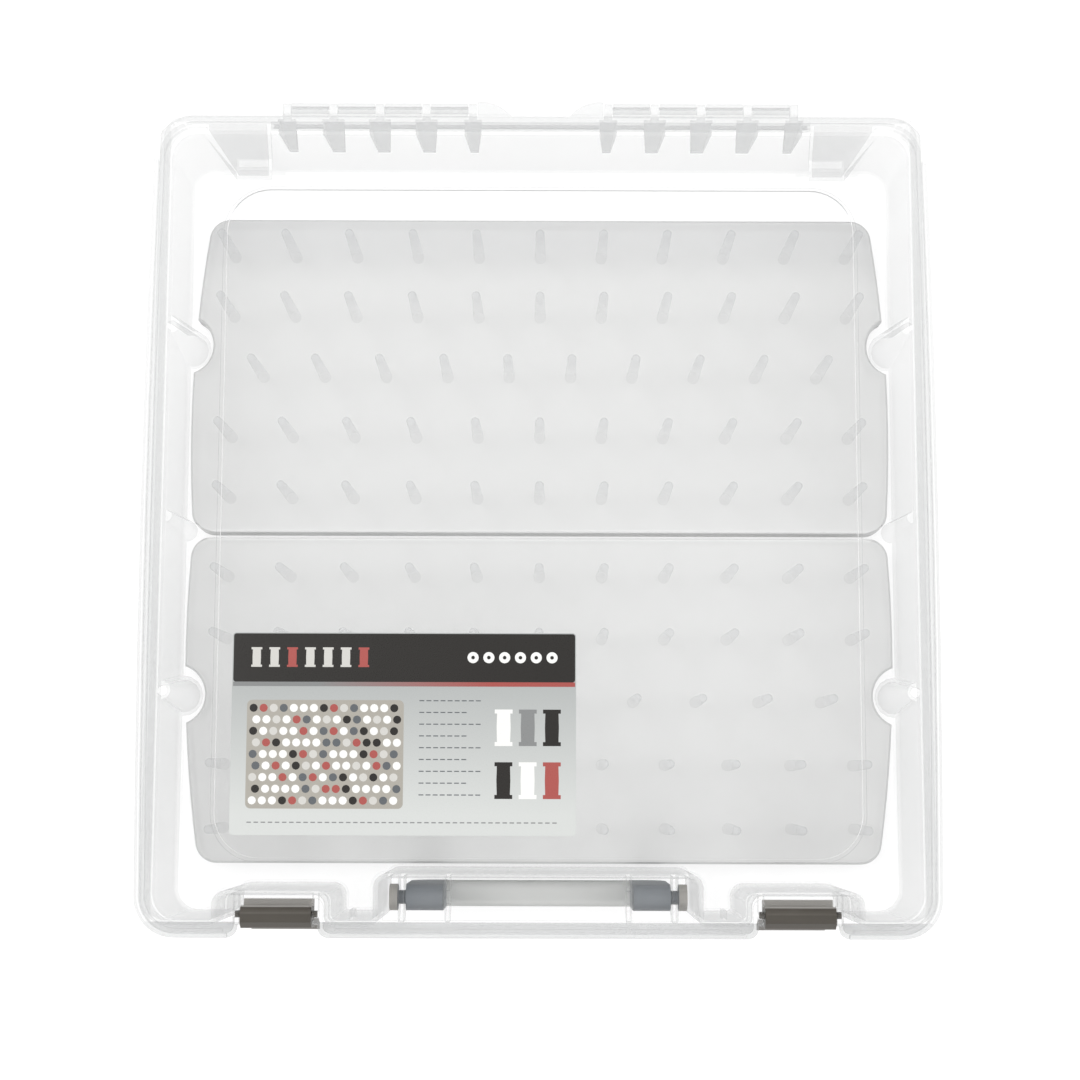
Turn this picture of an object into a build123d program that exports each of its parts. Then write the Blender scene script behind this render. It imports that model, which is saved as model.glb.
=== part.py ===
from build123d import *
import os

# Embroidery thread box: a translucent hinged case with two lift-out peg trays.
# Millimetres. +Z is up, the hinge is at +Y and the handle and latches are at -Y.
# The origin is the middle of the flat pad that the closed case rests on.

# ---------------------------------------------------------------- the case
rim_width = 356.0
rim_depth = 370.0
side_bow = 2.0
rim_corner_radius = 18.0
base_height = 58.0
overall_height = 89.0
wall = 2.0
side_flange = 9.0
end_flange = 7.0
wall_corner_radius = 12.0
flange_thickness = 2.0
seam_gap = 0.3
skirt_thickness = 1.6
skirt_depth = 4.5
skirt_gap = 0.4
base_lip_depth = 3.2
bottom_fillet = 4.0
lid_top_fillet = 6.0
lid_inner_chamfer = 1.4
floor_chamfer = 1.2

# The stacking pad under the base, and the recess for it in the lid.
pad_width = 271.0
pad_depth = 287.0
pad_corner_radius = 17.0
pad_centre_y = -4.2
pad_drop = 1.5
pad_play = 2.0

# ---------------------------------------------------------------- the latches
latch_side_inset = 64.5
latch_notch_width = 35.0
latch_notch_depth = 15.0
latch_shelf = 4.6
latch_recess_width = 45.5
recess_corner_radius = 4.0
recess_mouth_radius = 3.5
notch_corner_radius = 4.0
notch_mouth_radius = 5.0
latch_width = 30.7
latch_plate = 2.7
latch_set_back = 4.4
latch_hub_radius = 3.6
latch_hub_height = 5.5
latch_hub_forward = 4.5
latch_length = 34.0
latch_flare = 2.6
latch_flare_height = 7.0
latch_bead_height = 2.4
latch_bead_clearance = 0.4
trunnion_radius = 1.5
trunnion_length = 2.4
latch_side_play = 0.5
latch_cheek = 2.5
running_clearance = 0.08

# ---------------------------------------------------------------- the handle
pocket_width = 136.0
pocket_depth = 26.8
pocket_strip = 7.5
handle_width = 116.6
arm_width = 16.3
handle_thickness = 11.6
handle_set_back = 17.0
handle_axis_drop = 11.5
handle_bottom = 4.0
grip_height = 13.5
grip_tenon = 5.0
grip_edge_fillet = 3.5
arm_corner_radius = 9.0
handle_pin_radius = 3.0
pin_head_radius = 5.8
pin_head_thickness = 3.7
cheek_thickness = 2.4
cheek_play = 0.6
cheek_depth_below_axis = 9.0
rib_thickness = 2.1
rib_play = 1.1
thumb_lip_width = 84.0
thumb_lip_reach = 4.2
thumb_lip_arch = 1.3
thumb_lip_height = 0.9
front_rib_x = 80.0
front_rib_reach = 4.0
front_rib_height = 16.0
front_rib_thickness = 1.6

# ---------------------------------------------------------------- the hinge
hinge_posts = 5
hinge_post_spacing = 21.35
hinge_first_post = 31.1
hinge_post_width = 3.6
hinge_axis_back = 3.8
hinge_axis_drop = 1.0
hinge_rod_radius = 1.6
hinge_rod_clearance = 0.1
hinge_post_radius = 3.0
hinge_post_sides = 12
hinge_clip_radius = 3.2
hinge_clip_side_play = 0.4
hinge_clip_mouth = 2.6
buttress_top_width = 10.2
buttress_bottom_width = 5.8
buttress_end_width = 8.2
buttress_length = 28.0
buttress_reach = 6.5
buttress_toe = 1.0
hinge_tab_length = 16.0
corner_box_inset = 39.2
corner_box_top_width = 29.8
corner_box_bottom_width = 17.2
corner_box_lean = 3.4
corner_box_wall = 1.4
corner_slot_setback = 0.9

# ---------------------------------------------------------------- the trays
tray_depth = 151.0
tray_outer_width = 313.0
tray_middle_width = 329.0
tray_joint_width = 325.0
tray_corner_radius = 10.0
tray_joint_y = -2.55
tray_gap = 1.9
tray_wall = 1.8
tray_plate_height = 11.5
tray_seat_gap = 0.2
tray_edge_chamfer = 1.0
notch_radius = 14.0
post_radius = 9.5
post_top_radius = 4.0
post_sides = 16
post_y_upper = 88.0
post_y_lower = -77.5
mid_post_radius = 5.0
mid_post_top_radius = 2.6
mid_post_offset = 3.0
peg_pitch = 29.15
peg_columns = 11
peg_height = 44.0
peg_base_radius = 2.75
peg_tip_radius = 2.1
peg_sides = 6
peg_rows_offset = -1.4

# ---------------------------------------------------------------- the label
label_width = 147.0
label_depth = 86.0
label_thickness = 0.25
label_centre_x = -57.6
label_centre_y = -97.2
label_corner_radius = 1.5

# ---------------------------------------------------------------- worked out
rim_half_width = rim_width / 2
rim_half_depth = rim_depth / 2
wall_half_width = rim_half_width - side_flange
wall_half_depth = rim_half_depth - end_flange
front_y = -rim_half_depth
back_y = rim_half_depth
base_rim_inset = skirt_thickness + skirt_gap
flange_underside = base_height - flange_thickness
lid_bottom = base_height + seam_gap
floor_top = pad_drop + wall
latch_centres = (latch_side_inset - rim_half_width, rim_half_width - latch_side_inset)
corner_box_centre = rim_half_width - corner_box_inset
wall_inner_x = wall_half_width - wall
wall_inner_y = wall_half_depth - wall
latch_recess_back = front_y + latch_notch_depth + latch_shelf
pocket_back = front_y + pocket_depth
handle_axis_y = front_y + handle_set_back
handle_axis_z = base_height - handle_axis_drop
handle_half_width = handle_width / 2
arm_inner = handle_half_width - arm_width
cheek_inner = handle_half_width + cheek_play
cheek_outer = cheek_inner + cheek_thickness
latch_axis_y = front_y + latch_notch_depth - latch_hub_forward
latch_axis_z = lid_bottom + latch_hub_height
hinge_axis_y = back_y + hinge_axis_back
hinge_axis_z = base_height - hinge_axis_drop
post_xs = [hinge_first_post + k * hinge_post_spacing for k in range(hinge_posts)]
lower_tray_y = tray_joint_y - (tray_depth + tray_gap) / 2
upper_tray_y = tray_joint_y + (tray_depth + tray_gap) / 2
tray_foot_z = floor_top + tray_seat_gap
tray_top_z = floor_top + tray_plate_height


# ---------------------------------------------------------------- outlines
def corners_at(sketch, y):
    """Corners of a sketch that lie on the line at this y."""
    return sketch.vertices().filter_by_position(Axis.Y, y - 0.01, y + 0.01)


def wall_outline(inset=0.0):
    """Plan of the case walls, set in by a distance: latch recesses and handle pocket included."""
    mouth_y = -wall_half_depth + inset
    with BuildSketch() as sketch:
        RectangleRounded(
            2 * (wall_half_width - inset), 2 * (wall_half_depth - inset), wall_corner_radius - inset
        )
        for back, width, centres in (
            (latch_recess_back, latch_recess_width, latch_centres),
            (pocket_back, pocket_width, (0.0,)),
        ):
            with Locations(*[(x, back + inset) for x in centres]):
                Rectangle(
                    width + 2 * inset, rim_half_depth, align=(Align.CENTER, Align.MAX), mode=Mode.SUBTRACT
                )
        fillet(corners_at(sketch, latch_recess_back + inset), recess_corner_radius + inset)
        fillet(corners_at(sketch, pocket_back + inset), recess_corner_radius + inset)
        mouths = [v for v in corners_at(sketch, mouth_y) if abs(v.X) < wall_half_width - wall_corner_radius - 1]
        fillet(mouths, recess_mouth_radius - inset)
    return sketch.sketch_local


def rim_outline(inset=0.0, notched=True):
    """Plan of the rim, set in by a distance: bowed sides, and the two latch notches."""
    half_width = rim_half_width - inset
    half_depth = rim_half_depth - inset
    end = half_width - side_bow
    with BuildSketch() as sketch:
        with BuildLine():
            Line((-end, -half_depth), (end, -half_depth))
            ThreePointArc((end, -half_depth), (half_width, 0), (end, half_depth))
            Line((end, half_depth), (-end, half_depth))
            ThreePointArc((-end, half_depth), (-half_width, 0), (-end, -half_depth))
        make_face()
        fillet(sketch.vertices(), rim_corner_radius - inset)
        if notched:
            notch_back = front_y + latch_notch_depth + inset
            with Locations(*[(x, notch_back) for x in latch_centres]):
                Rectangle(
                    latch_notch_width + 2 * inset,
                    rim_half_depth,
                    align=(Align.CENTER, Align.MAX),
                    mode=Mode.SUBTRACT,
                )
            fillet(corners_at(sketch, notch_back), notch_corner_radius)
            mouths = [v for v in corners_at(sketch, -half_depth) if abs(v.X) < end - rim_corner_radius - 1]
            fillet(mouths, notch_mouth_radius - inset)
    return sketch.sketch_local


def tray_outline(joint_y, outward, notch_y, inset=0.0):
    """Plan of a tray: it starts at the joint and runs outward, with bowed ends and two finger notches."""
    near_y = joint_y + outward * inset
    far_y = joint_y + outward * (tray_depth - inset)
    middle_y = joint_y + outward * tray_depth * 0.4
    near = tray_joint_width / 2 - inset
    middle = tray_middle_width / 2 - inset
    far = tray_outer_width / 2 - inset
    with BuildSketch() as sketch:
        with BuildLine():
            Line((-near, near_y), (near, near_y))
            ThreePointArc((near, near_y), (middle, middle_y), (far, far_y))
            Line((far, far_y), (-far, far_y))
            ThreePointArc((-far, far_y), (-middle, middle_y), (-near, near_y))
        make_face()
        fillet(sketch.vertices(), tray_corner_radius - inset)
        with Locations((-wall_half_width, notch_y), (wall_half_width, notch_y)):
            Circle(notch_radius + inset, mode=Mode.SUBTRACT)
    return sketch.sketch_local


def pad_outline(grow=0.0):
    """Plan of the stacking pad, or of the recess that takes it when grown by the play."""
    with BuildSketch() as sketch:
        with Locations((0, pad_centre_y)):
            RectangleRounded(pad_width + 2 * grow, pad_depth + 2 * grow, pad_corner_radius + grow)
    return sketch.sketch_local


def trapezoid(centre_x, top_z, bottom_z, top_width, bottom_width):
    """Elevation of a block that narrows downwards, added to the current sketch."""
    Polygon(
        (centre_x - top_width / 2, top_z),
        (centre_x + top_width / 2, top_z),
        (centre_x + bottom_width / 2, bottom_z),
        (centre_x - bottom_width / 2, bottom_z),
        align=None,
    )


# ---------------------------------------------------------------- base
# The locating posts of each side wall: their y, radius at the floor and radius at the rim.
main_posts = ((post_y_upper, post_radius, post_top_radius), (post_y_lower, post_radius, post_top_radius))
middle_posts = ((tray_joint_y + mid_post_offset, mid_post_radius, mid_post_top_radius),)


def post_cores(posts, thinner, bottom_z, top_z):
    """Tapered many-sided cores on the inner faces of both side walls, one for each post."""
    with BuildPart() as cores:
        for post_y, floor_radius, rim_radius in posts:
            for side in (-1, 1):
                for z in (bottom_z, top_z):
                    share = (z - floor_top) / (base_height - floor_top)
                    radius = floor_radius + share * (rim_radius - floor_radius) - thinner
                    with BuildSketch(Plane.XY.offset(z)):
                        with Locations((side * wall_inner_x, post_y)):
                            RegularPolygon(radius, post_sides)
                loft(ruled=True)
    return cores.part


# The room inside, as a tool: bevelled at the floor, less the posts, which narrow towards the rim.
with BuildPart() as base_cavity:
    with BuildSketch(Plane.XY.offset(floor_top)):
        add(wall_outline(wall))
    extrude(amount=base_height)
    chamfer(base_cavity.edges().group_by(Axis.Z)[0], floor_chamfer)
    add(post_cores(main_posts + middle_posts, 0.0, floor_top, base_height), mode=Mode.SUBTRACT)

# Buttresses down the back wall under the hinge posts: tapered in width and in reach.
with BuildPart() as buttresses:
    with BuildSketch(Plane.XZ.offset(-wall_half_depth - buttress_reach)):
        for side in (-1, 1):
            for x in post_xs:
                top_width = buttress_end_width if x in (post_xs[0], post_xs[-1]) else buttress_top_width
                trapezoid(
                    side * x,
                    flange_underside + flange_thickness / 2,
                    flange_underside - buttress_length,
                    top_width,
                    top_width - buttress_top_width + buttress_bottom_width,
                )
    extrude(amount=buttress_reach + wall / 2)
    with BuildSketch(Plane.YZ):
        Polygon(
            (wall_half_depth + buttress_reach, flange_underside),
            (wall_half_depth + buttress_toe, flange_underside - buttress_length - wall),
            (wall_half_depth + 2 * buttress_reach, flange_underside - buttress_length - wall),
            (wall_half_depth + 2 * buttress_reach, flange_underside),
            align=None,
        )
    extrude(amount=rim_half_width, both=True, mode=Mode.SUBTRACT)


def corner_box(thinner, top_z, bottom_z, top_front):
    """The two boxes at the ends of the back wall: they narrow and lean inwards on their way down."""
    with BuildPart() as boxes:
        for side in (-1, 1):
            for z, width, front in (
                (top_z, corner_box_top_width, top_front),
                (bottom_z, corner_box_bottom_width, wall_inner_y - corner_box_lean + thinner),
            ):
                with BuildSketch(Plane.XY.offset(z)):
                    with Locations((side * corner_box_centre, back_y - base_rim_inset - thinner)):
                        Rectangle(
                            width - 2 * thinner,
                            back_y - base_rim_inset - thinner - front,
                            align=(Align.CENTER, Align.MAX),
                        )
            loft()
    return boxes.part


with BuildPart() as base:
    with BuildSketch(Plane.XY.offset(pad_drop)):
        add(wall_outline())
    extrude(amount=base_height - pad_drop)
    fillet(base.edges().group_by(Axis.Z)[0], bottom_fillet)

    # Stacking pad, the flat that the case rests on.
    with BuildSketch():
        add(pad_outline())
    extrude(amount=pad_drop + wall / 2)

    # Flange at the seam, and the lip that stiffens its edge.
    with BuildSketch(Plane.XY.offset(flange_underside)):
        add(rim_outline(base_rim_inset))
    extrude(amount=flange_thickness)
    with BuildSketch(Plane.XY.offset(flange_underside)):
        add(rim_outline(base_rim_inset, notched=False))
        add(rim_outline(base_rim_inset + skirt_thickness, notched=False), mode=Mode.SUBTRACT)
        with Locations(*[(x, front_y) for x in latch_centres]):
            Rectangle(
                latch_notch_width + 2 * base_rim_inset + 2 * notch_mouth_radius,
                2 * latch_notch_depth,
                mode=Mode.SUBTRACT,
            )
    extrude(amount=-base_lip_depth)

    # Hinge: buttresses down the back wall, posts on top of them and a moulded rod.
    add(buttresses.part)
    for side in (-1, 1):
        for x in post_xs:
            with BuildSketch(Plane.YZ.offset(side * x - hinge_post_width / 2)):
                with Locations((hinge_axis_y, hinge_axis_z)):
                    RegularPolygon(hinge_post_radius, hinge_post_sides, major_radius=False)
                with BuildLine():
                    Polyline(
                        (wall_half_depth + wall, flange_underside),
                        (hinge_axis_y, base_height - seam_gap),
                        (hinge_axis_y + hinge_post_radius, hinge_axis_z),
                        (wall_half_depth + wall, flange_underside - 2 * hinge_post_radius),
                        close=True,
                    )
                make_face()
            extrude(amount=hinge_post_width)
        with BuildSketch(Plane.YZ.offset(side * (post_xs[0] + post_xs[-1]) / 2)):
            with Locations((hinge_axis_y, hinge_axis_z)):
                Circle(hinge_rod_radius)
        extrude(amount=(post_xs[-1] - post_xs[0]) / 2, both=True)

    # Room inside, then the hollow corner boxes, the hollow posts and the sunk middle of the floor.
    add(base_cavity.part, mode=Mode.SUBTRACT)
    add(corner_box(0.0, flange_underside + flange_thickness / 2, pad_drop + bottom_fillet / 2, wall_inner_y))
    add(
        corner_box(
            corner_box_wall,
            base_height + wall,
            pad_drop + bottom_fillet / 2 + wall,
            wall_half_depth + corner_slot_setback,
        ),
        mode=Mode.SUBTRACT,
    )
    add(post_cores(main_posts, wall, 0.0, flange_underside), mode=Mode.SUBTRACT)
    with BuildSketch(Plane.XY.offset(wall)):
        add(pad_outline(-wall))
    extrude(amount=wall, mode=Mode.SUBTRACT)

    # Handle pocket: its flange is cut back to a strip at the front, and cheeks and ribs cross it.
    strip_back = front_y + pocket_strip
    with BuildSketch(Plane.XY.offset(flange_underside)):
        with Locations((0, strip_back)):
            Rectangle(
                pocket_width,
                pocket_back - strip_back,
                align=(Align.CENTER, Align.MIN),
                mode=Mode.ADD,
            )
    extrude(amount=flange_thickness, mode=Mode.SUBTRACT)
    for inner, thickness in (
        (cheek_inner, cheek_thickness),
        (arm_inner - rib_play - rib_thickness, rib_thickness),
    ):
        for side in (-1, 1):
            with BuildSketch(Plane.YZ.offset(side * (inner + thickness / 2))) as web:
                with Locations((strip_back - wall / 2, base_height)):
                    Rectangle(
                        pocket_back - strip_back + wall,
                        handle_axis_drop + cheek_depth_below_axis,
                        align=(Align.MIN, Align.MAX),
                    )
                low_corner = web.vertices().group_by(Axis.Y)[0].sort_by(Axis.X)[0]
                chamfer(low_corner, cheek_depth_below_axis / 2)
            extrude(amount=thickness / 2, both=True)
    with BuildSketch(Plane.YZ.offset(-cheek_outer)):
        with Locations((handle_axis_y, handle_axis_z)):
            Circle(handle_pin_radius + running_clearance)
    extrude(amount=2 * cheek_outer, mode=Mode.SUBTRACT)

base.part.label = "base"


# ---------------------------------------------------------------- lid
with BuildPart() as lid_cavity:
    with BuildSketch(Plane.XY.offset(overall_height - wall)):
        add(wall_outline(wall))
    extrude(amount=-overall_height + wall + base_height)
    chamfer(lid_cavity.edges().group_by(Axis.Z)[-1], lid_inner_chamfer)

with BuildPart() as lid:
    with BuildSketch(Plane.XY.offset(lid_bottom)):
        add(wall_outline())
    extrude(amount=overall_height - lid_bottom)
    fillet(lid.edges().group_by(Axis.Z)[-1], lid_top_fillet)

    # Flange, and the skirt that closes over the base's flange at the front and sides.
    with BuildSketch(Plane.XY.offset(lid_bottom)):
        add(rim_outline())
    extrude(amount=flange_thickness)
    with BuildSketch(Plane.XY.offset(lid_bottom)):
        add(rim_outline(notched=False))
        add(rim_outline(skirt_thickness, notched=False), mode=Mode.SUBTRACT)
        with Locations(*[(x, front_y) for x in latch_centres]):
            Rectangle(latch_notch_width + 2 * notch_mouth_radius, 2 * latch_notch_depth, mode=Mode.SUBTRACT)
        with Locations((0, back_y)):
            Rectangle(rim_width, 2 * (rim_corner_radius + wall), mode=Mode.SUBTRACT)
    extrude(amount=-skirt_depth)

    add(lid_cavity.part, mode=Mode.SUBTRACT)

    # Sunk panel in the top, at one wall thickness.
    with BuildSketch(Plane.XY.offset(overall_height - pad_drop)):
        add(pad_outline(pad_play + wall))
    extrude(amount=-wall)
    with BuildSketch(Plane.XY.offset(overall_height - pad_drop)):
        add(pad_outline(pad_play))
    extrude(amount=pad_drop, mode=Mode.SUBTRACT)

    # Hinge clips between the base's posts, and a thin tab at the inner end of each row.
    clip_width = hinge_post_spacing - hinge_post_width - 2 * hinge_clip_side_play
    for side in (-1, 1):
        for x in post_xs[:-1]:
            with BuildSketch(Plane.YZ.offset(side * (x + hinge_post_spacing / 2))):
                with Locations((hinge_axis_y, hinge_axis_z)):
                    Circle(hinge_clip_radius)
                with Locations((hinge_axis_y, lid_bottom)):
                    Rectangle(hinge_axis_back + wall, flange_thickness, align=(Align.MAX, Align.MIN))
                with Locations((hinge_axis_y, hinge_axis_z)):
                    Circle(hinge_rod_radius + hinge_rod_clearance, mode=Mode.SUBTRACT)
                    Rectangle(
                        hinge_clip_mouth,
                        2 * hinge_clip_radius,
                        align=(Align.CENTER, Align.MAX),
                        mode=Mode.SUBTRACT,
                    )
            extrude(amount=clip_width / 2, both=True)
        tab_root = side * (post_xs[0] - hinge_post_width / 2 - hinge_clip_side_play)
        tab_end = side * (post_xs[0] - hinge_post_width / 2 - hinge_tab_length)
        tab_back = hinge_axis_y + hinge_post_radius
        with BuildSketch(Plane.XY.offset(lid_bottom)):
            with BuildLine():
                Line((tab_root, back_y - wall), (tab_root, tab_back))
                ThreePointArc(
                    (tab_root, tab_back),
                    (tab_root * 0.45 + tab_end * 0.55, back_y * 0.2 + tab_back * 0.8),
                    (tab_end, back_y),
                )
                Polyline((tab_end, back_y), (tab_end, back_y - wall), (tab_root, back_y - wall))
            make_face()
        extrude(amount=flange_thickness)

    # Cheeks that hold each latch's trunnions.
    cheek_start = latch_width / 2 + latch_side_play
    cheek_front = latch_axis_y - latch_hub_radius - wall / 2
    for latch_x in latch_centres:
        for side in (-1, 1):
            with BuildSketch(Plane.YZ.offset(latch_x + side * (cheek_start + latch_cheek / 2))) as cheek:
                with Locations((cheek_front, lid_bottom)):
                    Rectangle(
                        latch_recess_back - cheek_front + wall / 2,
                        latch_hub_height + latch_hub_radius,
                        align=(Align.MIN, Align.MIN),
                    )
                fillet(cheek.vertices().group_by(Axis.Y)[-1].sort_by(Axis.X)[0], latch_hub_radius)
                with Locations((latch_axis_y, latch_axis_z)):
                    Circle(trunnion_radius + running_clearance, mode=Mode.SUBTRACT)
            extrude(amount=latch_cheek / 2, both=True)

    # Thumb lip on the front of the flange, with its middle rib, and two ribs inside the front wall.
    lip_front = front_y + skirt_thickness / 2
    lip_back = front_y + thumb_lip_reach
    with BuildSketch(Plane.XY.offset(lid_bottom + flange_thickness)):
        with BuildLine():
            Polyline(
                (thumb_lip_width / 2, lip_back),
                (thumb_lip_width / 2, lip_front),
                (-thumb_lip_width / 2, lip_front),
                (-thumb_lip_width / 2, lip_back),
            )
            ThreePointArc(
                (-thumb_lip_width / 2, lip_back),
                (0, lip_back + thumb_lip_arch),
                (thumb_lip_width / 2, lip_back),
            )
        make_face()
        with Locations((0, lip_back)):
            Rectangle(front_rib_thickness, front_rib_reach, align=(Align.CENTER, Align.MIN))
    extrude(amount=thumb_lip_height)
    with BuildSketch(Plane.XY.offset(lid_bottom)):
        with Locations((-front_rib_x, -wall_inner_y), (front_rib_x, -wall_inner_y)):
            Rectangle(front_rib_thickness, front_rib_reach, align=(Align.CENTER, Align.MIN))
    extrude(amount=front_rib_height)

lid.part.label = "lid"


# ---------------------------------------------------------------- latches
latch_front = front_y + latch_set_back
latch_back = latch_front + latch_plate
latch_foot = latch_axis_z - latch_length
bead_tip = front_y + latch_notch_depth + base_rim_inset - latch_bead_clearance
bead_top = flange_underside - latch_bead_clearance


def make_latch(centre_x, name):
    """A latch: hub and trunnions at the lid, a front plate, a bead under the base's shelf and a pull."""
    with BuildPart() as latch:
        with BuildSketch(Plane.YZ.offset(centre_x)) as profile:
            with BuildLine():
                Polyline(
                    (latch_axis_y, latch_axis_z + latch_hub_radius),
                    (latch_front + latch_plate, latch_axis_z + latch_hub_radius),
                    (latch_front, latch_axis_z),
                    (latch_front, latch_foot + latch_flare_height),
                    (latch_front - latch_flare, latch_foot),
                    (latch_back - latch_flare, latch_foot),
                    (latch_back, latch_foot + latch_flare_height),
                    (latch_back, bead_top - latch_bead_height),
                    (bead_tip, bead_top - latch_bead_height),
                    (bead_tip, bead_top),
                    (latch_back, bead_top + latch_bead_height / 2),
                    (latch_back, latch_axis_z - latch_hub_radius / 2),
                    (latch_axis_y, latch_axis_z - latch_hub_radius),
                    close=True,
                )
            make_face()
            with Locations((latch_axis_y, latch_axis_z)):
                Circle(latch_hub_radius)
            shoulder = profile.vertices().filter_by_position(
                Axis.Y, latch_axis_z - 0.01, latch_axis_z + 0.01
            ).sort_by(Axis.X)[0]
            fillet(shoulder, latch_plate)
        extrude(amount=latch_width / 2, both=True)
        with BuildSketch(Plane.YZ.offset(centre_x)):
            with Locations((latch_axis_y, latch_axis_z)):
                Circle(trunnion_radius)
        extrude(amount=latch_width / 2 + trunnion_length, both=True)
    latch.part.label = name
    return latch


latch_left = make_latch(latch_centres[0], "latch_left")
latch_right = make_latch(latch_centres[1], "latch_right")


# ---------------------------------------------------------------- handle
def make_arm(side, name):
    """One dark arm of the handle, with its pin, the pin's head and a socket for the grip."""
    centre_x = side * (arm_inner + arm_width / 2)
    top_z = handle_axis_z + handle_thickness / 2
    with BuildPart() as arm:
        with BuildSketch(Plane.XZ.offset(-handle_axis_y)) as face:
            with Locations((centre_x, handle_bottom)):
                Rectangle(arm_width, top_z - handle_bottom, align=(Align.CENTER, Align.MIN))
            outer = face.vertices().group_by(Axis.Y)[0].sort_by(Axis.X)[-1 if side > 0 else 0]
            fillet(outer, arm_corner_radius)
        extrude(amount=handle_thickness / 2, both=True)
        top_edges = arm.edges().filter_by(Axis.X).group_by(Axis.Z)[-1]
        fillet(top_edges, handle_thickness / 2 - running_clearance)
        pin_reach = cheek_outer + cheek_play - handle_half_width
        with BuildSketch(Plane.YZ.offset(side * (handle_half_width - wall))):
            with Locations((handle_axis_y, handle_axis_z)):
                Circle(handle_pin_radius)
        extrude(amount=side * (pin_reach + wall))
        with BuildSketch(Plane.YZ.offset(side * (handle_half_width + pin_reach))):
            with Locations((handle_axis_y, handle_axis_z)):
                Circle(pin_head_radius)
        extrude(amount=side * pin_head_thickness)
        with BuildSketch(Plane.YZ.offset(side * arm_inner)):
            with Locations((handle_axis_y, handle_bottom + grip_height / 2)):
                Rectangle(
                    handle_thickness - 2 * grip_edge_fillet + 2 * running_clearance,
                    grip_height - 2 * grip_edge_fillet + 2 * running_clearance,
                )
        extrude(amount=side * (grip_tenon + running_clearance), mode=Mode.SUBTRACT)
    arm.part.label = name
    return arm


handle_arm_left = make_arm(-1, "handle_arm_left")
handle_arm_right = make_arm(1, "handle_arm_right")

with BuildPart() as handle_grip:
    with BuildSketch(Plane.YZ) as grip_section:
        with Locations((handle_axis_y, handle_bottom + grip_height / 2)):
            Rectangle(handle_thickness, grip_height)
        fillet(grip_section.vertices(), grip_edge_fillet)
    extrude(amount=arm_inner, both=True)
    with BuildSketch(Plane.YZ):
        with Locations((handle_axis_y, handle_bottom + grip_height / 2)):
            Rectangle(handle_thickness - 2 * grip_edge_fillet, grip_height - 2 * grip_edge_fillet)
    extrude(amount=arm_inner + grip_tenon, both=True)
handle_grip.part.label = "handle_grip"


# ---------------------------------------------------------------- trays
def make_tray(joint_y, outward, notch_y, name):
    """A tray: a plate on a shallow skirt, open below, with finger notches at its sides."""
    with BuildPart() as tray:
        with BuildSketch(Plane.XY.offset(tray_foot_z)):
            add(tray_outline(joint_y, outward, notch_y))
        extrude(amount=tray_top_z - tray_foot_z)
        chamfer(tray.edges().group_by(Axis.Z)[-1], tray_edge_chamfer)
        with BuildSketch(Plane.XY.offset(tray_foot_z)):
            add(tray_outline(joint_y, outward, notch_y, tray_wall))
        extrude(amount=tray_top_z - tray_foot_z - tray_wall, mode=Mode.SUBTRACT)
    tray.part.label = name
    return tray


def peg_places(centre_y):
    """Centres of a tray's pegs: five rows, the middle one with one peg fewer, set half a pitch over."""
    places = []
    for row in range(-2, 3):
        count = peg_columns - 1 if row == 0 else peg_columns
        for k in range(count):
            x = (k - (count - 1) / 2) * peg_pitch
            places.append((x, centre_y + peg_rows_offset + row * peg_pitch))
    return places


def make_pegs(centre_y, name):
    """A tray's pegs: slender, six-sided and tapered, each standing on the plate."""
    with BuildPart(mode=Mode.PRIVATE) as peg:
        for z, radius in ((tray_top_z, peg_base_radius), (tray_top_z + peg_height, peg_tip_radius)):
            with BuildSketch(Plane.XY.offset(z)):
                RegularPolygon(radius, peg_sides)
        loft(ruled=True)
    with BuildPart() as pegs:
        with Locations(*peg_places(centre_y)):
            add(peg.part)
    pegs.part.label = name
    return pegs


upper_tray = make_tray(tray_joint_y + tray_gap / 2, 1, post_y_upper, "upper_tray")
lower_tray = make_tray(tray_joint_y - tray_gap / 2, -1, post_y_lower, "lower_tray")
upper_tray_pegs = make_pegs(upper_tray_y, "upper_tray_pegs")
lower_tray_pegs = make_pegs(lower_tray_y, "lower_tray_pegs")


# ---------------------------------------------------------------- label
with BuildPart() as label:
    with BuildSketch(Plane.XY.offset(overall_height - pad_drop)):
        with Locations((label_centre_x, label_centre_y)):
            RectangleRounded(label_width, label_depth, label_corner_radius)
    extrude(amount=label_thickness)
label.part.label = "label"


os.makedirs("parts", exist_ok=True)
for piece in (
    base,
    lid,
    latch_left,
    latch_right,
    handle_arm_left,
    handle_arm_right,
    handle_grip,
    upper_tray,
    lower_tray,
    upper_tray_pegs,
    lower_tray_pegs,
    label,
):
    export_step(piece.part, f"parts/{piece.part.label}.step")
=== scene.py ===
"""Dresses the embroidery thread box: frosted case, milky peg trays, dark latches, handle and label."""

import logging
import math
from dataclasses import dataclass, field
from enum import Enum

import bpy
from mathutils import Matrix, Vector

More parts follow.
